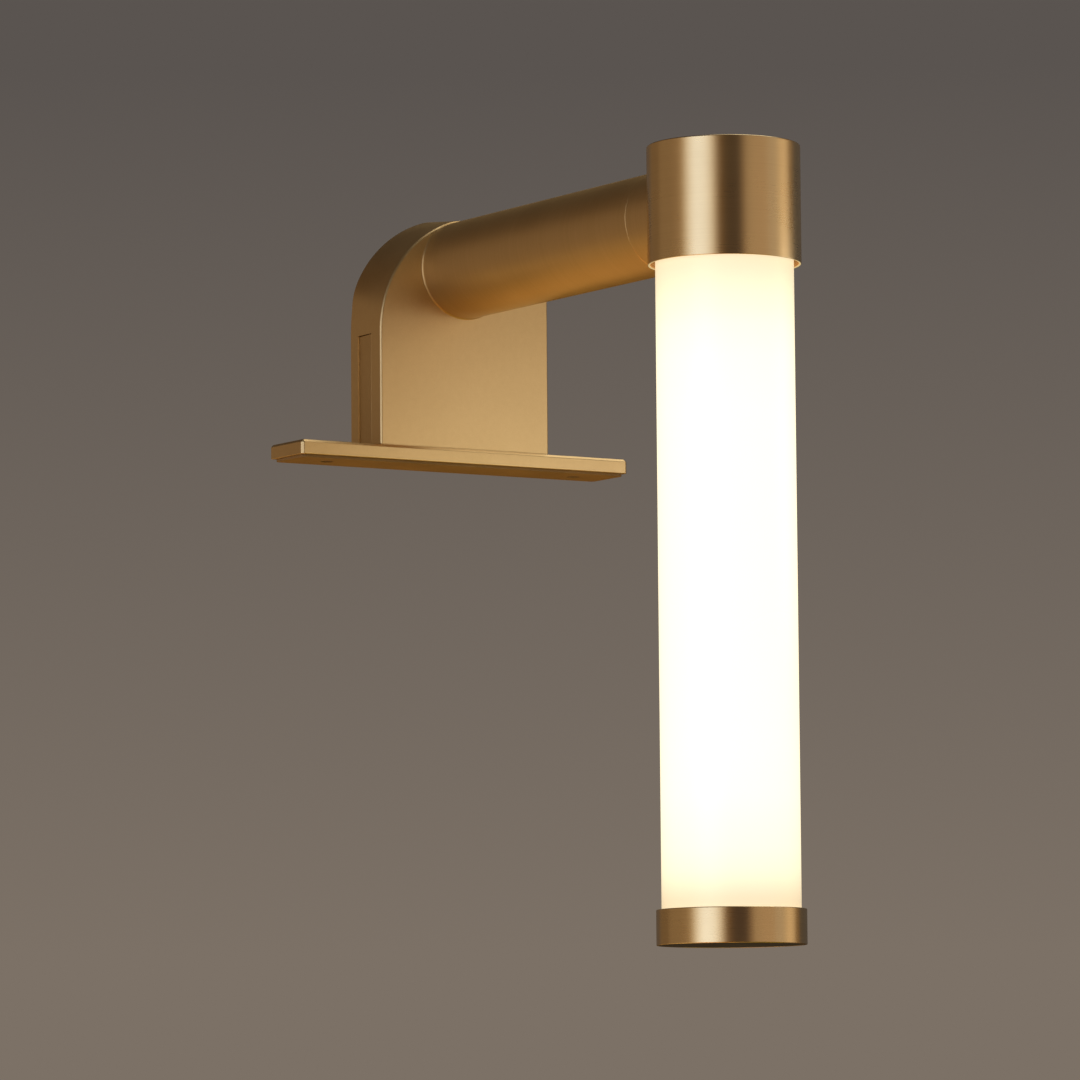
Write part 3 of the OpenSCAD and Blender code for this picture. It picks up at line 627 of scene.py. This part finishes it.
disc_bot = RING_BOT + 0.04        # reads flush with the ring from the side
disc = Solid().lathe(rounded([
    (0, disc_bot + 1.4),
    (DISC_R - 2.0, disc_bot + 1.4, 0.3, 3),
    (DISC_R - 2.0, disc_hi[2]),
    (DISC_R, disc_hi[2]),
    (DISC_R, disc_bot, 0.15, 5),
    (0, disc_bot),
], False), "Z", HEAD_X, HEAD_Y, 0, segs=192).object("bottom_disc_skin")
finish(disc, "head", ["bottom_disc"], mat_disc)


# Housing
def arch(inset, y, zb, draft=0.0):
    """Outline of the housing, inset from its outer face, as points at depth y: a long arc and a crown arc on
    the left, a straight side and a tighter shoulder on the right. The shoulders grow by draft towards the back,
    blending into the straight sides."""
    off = SIDE_R - HOUSE_HW
    up = math.sqrt((SIDE_R - CROWN_R) ** 2 - off * off)
    turn = math.atan2(up, off)          # hand-over direction of the side arc, above the horizontal
    top = SPRING_Z + up + CROWN_R
    sx, sz = HOUSE_HW - RIGHT_R, top - RIGHT_R
    hw = HOUSE_HW - inset

    def held(x, climb):
        """Keeps a grown shoulder inside the straight side, with a soft hand-over."""
        if draft <= 0:
            return x
        soft = 0.8 * draft * min(1.0, max(0.0, climb / 9.0))
        inside = hw - abs(x)
        return math.copysign(hw - 0.5 * (inside + math.sqrt(inside * inside + soft * soft)), x)

    pts = [(-hw, zb), (-hw, zb + 0.5 * (SPRING_Z - zb))]
    n = 44
    for k in range(n + 1):
        a = math.pi - turn * k / n
        r = SIDE_R - inset + draft
        z = SPRING_Z + r * math.sin(a)
        pts.append((held(off + r * math.cos(a), z - SPRING_Z), z))
    c = 14
    for k in range(1, c + 1):
        a = (math.pi - turn) + (turn - math.pi / 2) * k / c
        r = CROWN_R - inset + draft
        pts.append((r * math.cos(a), SPRING_Z + up + r * math.sin(a)))
    for k in range(n + 1):
        a = math.pi / 2 * (1 - k / n)
        r = RIGHT_R - inset + draft
        z = sz + r * math.sin(a)
        pts.append((held(sx + r * math.cos(a), z - sz), z))
    pts += [(hw, zb + 0.5 * (SPRING_Z - zb)), (hw, zb)]
    return [(px, y, pz) for px, pz in pts]


def arch_loft(path, zb, draft=0.0):
    """Loft through (inset, depth) steps; the draft grows with the depth behind the front edge."""
    first = HOUSE_F + edge
    return Solid().loft([arch(i, y, zb, draft * max(0.0, (y - first) / (HOUSE_B - first))) for i, y in path])


edge = 0.5
gap = 0.3
housing = arch_loft(rounded([
    (edge + 1.5, HOUSE_F),
    (edge, HOUSE_F, 0.35, 4),
    (0, HOUSE_F + edge, 0.35, 4),
    (0, HOUSE_F + 7),
    (0, HOUSE_F + 14),
    (0, HOUSE_B, 0.15, 3),
    (1.5, HOUSE_B),
], False), FOOT_TOP + gap, DRAFT).object("housing_shell_skin")
cavity = arch_loft([(2.0, HOUSE_F + 2.5), (2.0, HOUSE_B + 2)], FOOT_TOP + 2).object("cut_cavity")
rebate = arch_loft([(1.0, BACK_F), (1.0, HOUSE_B + 2)], FOOT_TOP + 1).object("cut_rebate")
win_f, win_b = HOUSE_F + 6.3, HOUSE_F + 15.2
window_l = Solid().block((-HOUSE_HW - 1, win_f, FOOT_TOP - 1), (-HOUSE_HW + 2.0005, win_b, SPRING_Z)).object("cut_window_l")
window_r = Solid().block((HOUSE_HW - 2.0005, win_f, FOOT_TOP - 1), (HOUSE_HW + 1, win_b, SPRING_Z)).object("cut_window_r")
way_in = Solid().lathe([(0, HOUSE_F - 1), (5.2, HOUSE_F - 1), (5.2, HOUSE_F + 4), (0, HOUSE_F + 4)],
                       "Y", 0, 0, ARM_Z, segs=64, closed=False).object("cut_way_in")
carve(housing, cavity, rebate, window_l, window_r, way_in)
# the plinth behind the shadow gap, and the posts inside
plinth = Solid().block((-HOUSE_HW + 2.1, HOUSE_F + 0.5, FOOT_TOP), (HOUSE_HW - 2.1, HOUSE_B - 0.2, FOOT_TOP + gap + 0.2))
for s in (-1, 1):
    a, b = sorted((s * (HOUSE_HW - 0.5), s * (HOUSE_HW - 2.2)))
    plinth.block((a, HOUSE_F + 0.5, FOOT_TOP), (b, win_f - 0.1, FOOT_TOP + gap + 0.2))
    plinth.block((a, win_b + 0.1, FOOT_TOP), (b, HOUSE_B - 0.2, FOOT_TOP + gap + 0.2))
    for bx, bz in ((27, 10.5), (23.5, 62)):
        plinth.lathe([(0, HOUSE_F + 2.0), (3.2, HOUSE_F + 2.0), (3.2, BACK_F), (1.25, BACK_F), (1.25, BACK_F - 9), (0, BACK_F - 9)],
                     "Y", s * bx, 0, bz, segs=48, closed=False)
    plinth.lathe([(1.65, FOOT_TOP + 1.5), (3.8, FOOT_TOP + 1.5), (3.8, FOOT_TOP + 9), (1.65, FOOT_TOP + 9)],
                 "Z", s * 16, 0.6, 0, segs=48, closed=True)
plinth.lathe([(1.65, HOUSE_F + 2.0), (2.9, HOUSE_F + 2.0), (2.9, HOUSE_F + 4.9), (1.65, HOUSE_F + 4.9)],
             "Y", -14, 0, 64, segs=48, closed=True)
join(housing, plinth.object("inner_posts"))
finish(housing, "bracket", ["housing_shell"], mat_gold)

# Back plate with countersunk screw holes and the hole for the grommet
back = arch_loft(rounded([
    (3.0, BACK_F),
    (1.1, BACK_F, 0.1, 2),
    (1.1, HOUSE_B, 0.25, 4),
    (3.0, HOUSE_B),
], False), FOOT_TOP + 1.1).object("back_plate_skin")
cuts = []
for s in (-1, 1):
    for bx, bz in ((27, 10.5), (23.5, 62)):
        cuts.append(Solid().lathe([(0, BACK_F - 1), (1.6, BACK_F - 1), (1.6, HOUSE_B - 1.5), (3.1, HOUSE_B), (4.1, HOUSE_B + 1), (0, HOUSE_B + 1)],
                                  "Y", s * bx, 0, bz, segs=64, closed=False).object("cut_screw"))
GX, GZ = (grom_lo[0] + grom_hi[0]) / 2, (grom_lo[2] + grom_hi[2]) / 2
cuts.append(Solid().lathe([(0, BACK_F - 1), (5.2, BACK_F - 1), (5.2, HOUSE_B - 0.8), (6.0, HOUSE_B), (7.0, HOUSE_B + 1), (0, HOUSE_B + 1)],
                          "Y", GX, 0, GZ, segs=96, closed=False).object("cut_grommet"))
carve(back, *cuts)
finish(back, "bracket", ["back_plate"], mat_gold)

# Side covers: flush along the front edge, sunk along the rear edge
for side, name in ((-1, "left"), (1, "right")):
    xi = cover_hi[0] - 1.93 - 0.1
    xi = HOUSE_HW - 2.05
    pts = [(xi, win_f + 0.05), (HOUSE_HW - 0.02, win_f + 0.05), (HOUSE_HW - 0.6, win_b - 0.1), (xi, win_b - 0.1)]
    lo_ring = [(side * px, py, FOOT_TOP) for px, py in pts]
    hi_ring = [(side * px, py, SPRING_Z - 0.25) for px, py in pts]
    cover = Solid().loft([lo_ring, hi_ring]).bevel(0.10, 3)
    a, b = sorted((side * (xi - 0.9), side * xi))
    flange = Solid().block((a, win_f - 1.3, FOOT_TOP + 2.1), (b, win_b + 1.3, SPRING_Z + 1.5)).bevel(0.15, 2)
    cover = cover.object("side_cover_%s_skin" % name)
    join(cover, flange.object("flange"))
    finish(cover, "bracket", ["side_cover_%s" % name], mat_cover)

# Foot: chamfered front, ends and corners, with softened edges
e = 0.9
w, f, b = foot_hi[0], foot_lo[1], foot_hi[1]
z0, z1 = foot_lo[2], foot_hi[2]
rings = [
    [(-w + e, f, z0), (w - e, f, z0), (w, f + e, z0), (w, b, z0), (-w, b, z0), (-w, f + e, z0)],
    [(-w + e, f, z1 - e), (w - e, f, z1 - e), (w, f + e, z1 - e), (w, b, z1 - e), (-w, b, z1 - e), (-w, f + e, z1 - e)],
    [(-w + 1.4 * e, f + e, z1), (w - 1.4 * e, f + e, z1), (w - e, f + 1.4 * e, z1), (w - e, b, z1), (-w + e, b, z1), (-w + e, f + 1.4 * e, z1)],
]
foot = Solid().loft(rings).bevel(0.16, 4, least=15).object("base_plate_skin")
cuts = []
for s in (-1, 1):
    cuts.append(Solid().lathe([(0, -1), (2.25, -1), (2.25, z1 - 2.25), (4.75, z1 + 0.25), (5.5, z1 + 1), (0, z1 + 1)],
                              "Z", s * 50, 0, 0, segs=96, closed=False).object("cut_fix"))
    cuts.append(Solid().lathe([(0, -1), (4.35, -1), (4.35, z0 - 0.3), (2.15, z0 + 1.9), (2.15, z1 + 1), (0, z1 + 1)],
                              "Z", s * 16, 0.6, 0, segs=96, closed=False).object("cut_screw"))
carve(foot, *cuts)
finish(foot, "bracket", ["base_plate"], mat_gold)

# Pad under the foot
pad = Solid().loft([
    [(pad_lo[0], pad_lo[1], pad_lo[2]), (pad_hi[0], pad_lo[1], pad_lo[2]), (pad_hi[0], pad_hi[1], pad_lo[2]), (pad_lo[0], pad_hi[1], pad_lo[2])],
    [(pad_lo[0], pad_lo[1], pad_hi[2]), (pad_hi[0], pad_lo[1], pad_hi[2]), (pad_hi[0], pad_hi[1], pad_hi[2]), (pad_lo[0], pad_hi[1], pad_hi[2])],
])
pad.bevel(1.6, 5, only=lambda ed: abs((ed.verts[0].co - ed.verts[1].co).z) > 0.5 * MM)
pad.bevel(0.18, 3, least=40)
pad = pad.object("base_pad_skin")
carve(pad, *[Solid().lathe([(0, -1), (2.25, -1), (2.25, 2), (0, 2)], "Z", s * 50, 0, 0, segs=64, closed=False).object("cut_pad") for s in (-1, 1)])
finish(pad, "bracket", ["base_pad"], mat_pad)

# Grommet with rolled lips
grommet = Solid().lathe(rounded([
    (3.6, BACK_F - 1.5, 0.4, 4), (7.0, BACK_F - 1.5, 0.6, 5), (7.0, BACK_F, 0.3, 3), (5.2, BACK_F), (5.2, HOUSE_B - 0.8),
    (5.9, HOUSE_B - 0.1, 0.1, 2), (5.6, HOUSE_B, 0.1, 2), (3.6, HOUSE_B, 0.5, 5),
], True), "Y", GX, 0, GZ, segs=96).object("cable_grommet_skin")
finish(grommet, "bracket", ["cable_grommet"], mat_rubber)

# ------------------------------------------------- materials on the CAD nodes
CARRIED = {
    "base_plate_screws": mat_zinc, "back_plate_screws": mat_zinc, "terminal_block": mat_white,
    "terminal_screws": mat_fixings, "earth_screw": mat_fixings, "earth_lead": mat_earth,
    "driver_input_leads": mat_component, "driver_case": mat_white, "driver_lid": mat_white,
    "driver_board": mat_green, "driver_transformer": mat_coil, "driver_capacitors": mat_component,
    "arm_rear_plug": mat_fixings, "arm_nipple": mat_zinc, "arm_lock_washer": mat_zinc, "arm_nut": mat_fixings,
    "arm_front_bush": mat_fixings, "stop_pin": mat_turned, "thrust_washer": mat_nylon, "led_lead_arm": mat_wire,
    "swivel_spindle": mat_fixings, "wave_washer": mat_turned, "swivel_nut": mat_fixings, "head_core": mat_alu,
    "top_gasket": mat_silicone, "upper_spacer": mat_nylon, "led_core": mat_alu, "led_boards": mat_board,
    "led_chips": mat_phosphor, "led_lead_head": mat_wire, "tie_rod": mat_zinc, "lower_spacer": mat_nylon,
    "bottom_gasket": mat_silicone, "tie_nut": mat_zinc,
}
for name, material in CARRIED.items():
    o = NODES[name]
    if not o.data.materials:
        o.data.materials.append(material)
    for s in o.material_slots:
        s.material = material

# the light comes from inside the head, so what stands round it casts no shadow
for name in ("upper_spacer", "led_core", "led_boards", "led_chips", "led_lead_head", "tie_rod", "lower_spacer", "top_gasket",
             "bottom_gasket", "diffuser_tube"):
    NODES[name].visible_shadow = False
tube.visible_shadow = tube.visible_diffuse = tube.visible_glossy = False

# --------------------------------------------------------------------- camera
cam_data = bpy.data.cameras.new("camera")
cam_data.sensor_fit = "HORIZONTAL"
cam_data.sensor_width = 36.0
cam_data.lens = 210.35879
cam_data.clip_start, cam_data.clip_end = 0.05, 60.0
camera = bpy.data.objects.new("camera", cam_data)
bpy.context.scene.collection.objects.link(camera)
C = Vector((-1.1368519617, -1.8515862890, -0.2445620137))
RIGHT = Vector((0.8451881911, -0.5344074961, -0.0080962764))
UP = Vector((-0.0469730466, -0.0893624739, 0.9948908891))
FWD = Vector((0.5324006522, 0.8404897241, 0.1006308559))
camera.matrix_world = Matrix((
    (RIGHT.x, UP.x, -FWD.x, C.x),
    (RIGHT.y, UP.y, -FWD.y, C.y),
    (RIGHT.z, UP.z, -FWD.z, C.z),
    (0, 0, 0, 1),
))
bpy.context.scene.camera = camera

# --------------------------------------------------------------------- lights
HEAD = Vector((HEAD_X * MM, HEAD_Y * MM, -0.03))
to_cam = Vector((C.x - HEAD.x, C.y - HEAD.y, 0)).normalized()
to_right = Vector((-to_cam.y, to_cam.x, 0))
if to_right.dot(RIGHT) < 0:
    to_right = -to_right


def panel(name, azimuth, elevation, distance, width, height, power, colour, aim=None, glossy=True, diffuse=True):
    """Softbox. Azimuth is from the camera's side of the head, positive to the picture's right."""
    a, el = math.radians(azimuth), math.radians(elevation)
    d = (to_cam * math.cos(a) + to_right * math.sin(a)) * math.cos(el) + Vector((0, 0, math.sin(el)))
    data = bpy.data.lights.new(name, "AREA")
    data.shape, data.size, data.size_y = "RECTANGLE", width, height
    data.energy, data.color = power, colour
    obj = bpy.data.objects.new(name, data)
    obj.location = HEAD + d * distance
    target = aim if aim is not None else HEAD
    obj.rotation_euler = (target - obj.location).to_track_quat("-Z", "Y").to_euler()
    obj.visible_camera = False
    obj.visible_glossy = glossy
    obj.visible_diffuse = diffuse
    bpy.context.scene.collection.objects.link(obj)
    return obj


SOFTBOXES = (
    # azimuth from, to, elevation from, to, colour x strength
    (-170, -142, -18, 24, (0.071, 0.059, 0.047)),
    (-142, -112, -18, 24, (0.131, 0.085, 0.042)),
    (-112, -82, -18, 24, (0.197, 0.134, 0.071)),
    (-82, -70, -18, 24, (0.220, 0.145, 0.076)),
    (-70, -63, -18, 24, (0.319, 0.212, 0.101)),
    (-63, -57, -18, 24, (0.582, 0.485, 0.351)),
    (-57, -51, -18, 24, (0.862, 0.819, 0.725)),
    (-51, -45, -18, 24, (1.053, 1.079, 1.069)),
    (-45, -36, -18, 24, (1.133, 1.205, 1.258)),
    (-36, -27, -18, 24, (1.114, 1.174, 1.204)),
    (-27, -21, -18, 24, (1.052, 1.049, 0.993)),
    (-21, -15, -18, 24, (0.846, 0.778, 0.663)),
    (-15, -9, -18, 24, (0.420, 0.317, 0.207)),
    (-9, 0, -18, 24, (0.092, 0.038, 0.002)),
    (0, 26, -18, 24, (0.035, 0.024, 0.020)),
    (26, 33, -18, 24, (0.209, 0.134, 0.077)),
    (33, 45, -18, 24, (0.394, 0.283, 0.168)),
    (45, 70, -18, 24, (0.415, 0.292, 0.172)),
    (70, 87, -18, 24, (0.431, 0.339, 0.227)),
    (87, 94, -18, 24, (0.514, 0.390, 0.233)),
    (94, 106, -18, 24, (0.653, 0.485, 0.288)),
    (106, 114, -18, 24, (0.487, 0.359, 0.211)),
    (114, 126, -18, 24, (0.159, 0.098, 0.043)),
    (126, 170, -18, 24, (0.049, 0.048, 0.044)),
    (-130, -60, 24, 50, (0.037, 0.016, 0.000)),
    (-20, 20, 24, 50, (0.059, 0.053, 0.000)),
    (20, 60, 24, 50, (0.045, 0.074, 0.052)),
    (60, 105, 24, 50, (0.035, 0.042, 0.041)),
    (105, 150, 24, 50, (0.058, 0.027, 0.000)),
    (-170, -125, -48, -18, (0.296, 0.163, 0.039)),
    (-125, -80, -48, -18, (0.486, 0.322, 0.118)),
    (-80, -30, -48, -18, (0.256, 0.189, 0.052)),
    (95, 150, -48, -18, (0.149, 0.090, 0.033)),
    (-180, -90, -85, -48, (1.109, 0.683, 0.267)),
    (-90, 0, -85, -48, (0.586, 0.158, 0.000)),
    (90, 180, -85, -48, (0.634, 0.410, 0.000)),
    (90, 180, 50, 85, (1.649, 1.527, 1.180)),
)
for k, (az0, az1, el0, el1, rgb) in enumerate(SOFTBOXES):
    az, el = (az0 + az1) / 2, (el0 + el1) / 2
    wide = 4.8 * math.tan(math.radians(az1 - az0) / 2) * (math.cos(math.radians(el)) if abs(el) > 25 else 1.0)
    tall = 4.8 * math.tan(math.radians(el1 - el0) / 2)
    panel("softbox_%02d" % k, az, el, 2.4, wide, tall, wide * tall * math.pi, rgb)


def card(name, place, aim, wide, tall, rgb):
    """Small bounce card close to the arm and the head."""
    data = bpy.data.lights.new(name, "AREA")
    data.shape, data.size, data.size_y = "RECTANGLE", wide, tall
    data.energy, data.color = wide * tall * math.pi, rgb
    obj = bpy.data.objects.new(name, data)
    obj.location = place
    obj.rotation_euler = (Vector(aim) - Vector(place)).to_track_quat("-Z", "Y").to_euler()
    obj.visible_camera = False
    bpy.context.scene.collection.objects.link(obj)


card("card_1", (0.0, -0.055, -0.02), (0, -0.0094, 0.03), 0.13, 0.05, (0.120, 0.141, 0.000))
card("card_2", (0.05, -0.16, -0.09), (0.01, -0.0094, 0.03), 0.16, 0.1, (0.323, 0.099, 0.000))
card("card_3", (0.16, -0.22, 0.0), (0.01, -0.0094, 0.03), 0.12, 0.12, (0.965, 0.979, 0.839))

# ------------------------------------------------------------------ surrounds
world = bpy.data.worlds.new("world")
bpy.context.scene.world = world
world.use_nodes = True
world.node_tree.nodes["Background"].inputs[0].default_value = (0.030, 0.018, 0.010, 1)
world.node_tree.nodes["Background"].inputs[1].default_value = 1.0


def backdrop():
    """A large plain shell far round the object, seen only as the background."""
    bm = bmesh.new()
    bmesh.ops.create_uvsphere(bm, u_segments=96, v_segments=48, radius=9.0)
    mesh = bpy.data.meshes.new("backdrop")
    bm.to_mesh(mesh)
    bm.free()
    mesh.shade_smooth()
    o = bpy.data.objects.new("backdrop", mesh)
    bpy.context.scene.collection.objects.link(o)
    m = Mat("backdrop_grey", (0, 0, 0, 1), 0.0, 1.0)
    x, y, z = m.xyz()
    m.set("Emission Color", m.mix(m.ramp(z, 0.15, 1.7), srgb(124, 113, 102), srgb(90, 84, 80)))
    m.set("Emission Strength", 1.0)
    m.set("Specular IOR Level", 0.0)
    mesh.materials.append(m.mat)
    o.visible_diffuse = o.visible_glossy = o.visible_transmission = o.visible_shadow = False
    o.visible_volume_scatter = False


def floor():
    bm = bmesh.new()
    bmesh.ops.create_grid(bm, x_segments=24, y_segments=24, size=4.5)
    mesh = bpy.data.meshes.new("floor")
    bm.to_mesh(mesh)
    bm.free()
    o = bpy.data.objects.new("floor", mesh)
    o.location = (0, 0, -2.4)
    bpy.context.scene.collection.objects.link(o)
    m = Mat("floor_pale", (0.62, 0.60, 0.57, 1), 0.0, 0.8)
    n = m.noise(m.scaled(9, 9, 9), 1.0, 4.0, 0.6)
    pale = m.mix(m.ramp(n, 0.35, 0.65), (0.58, 0.56, 0.53, 1), (0.64, 0.62, 0.59, 1))
    m.set("Base Color", pale)
    m.set("Emission Color", pale)
    m.set("Emission Strength", 0.55)
    mesh.materials.append(m.mat)
    o.visible_diffuse = o.visible_glossy = False


backdrop()
floor()

scene = bpy.context.scene
scene.view_settings.view_transform = "Standard"
scene.view_settings.look = "None"
scene.view_settings.exposure = 0.0
scene.view_settings.gamma = 1.0
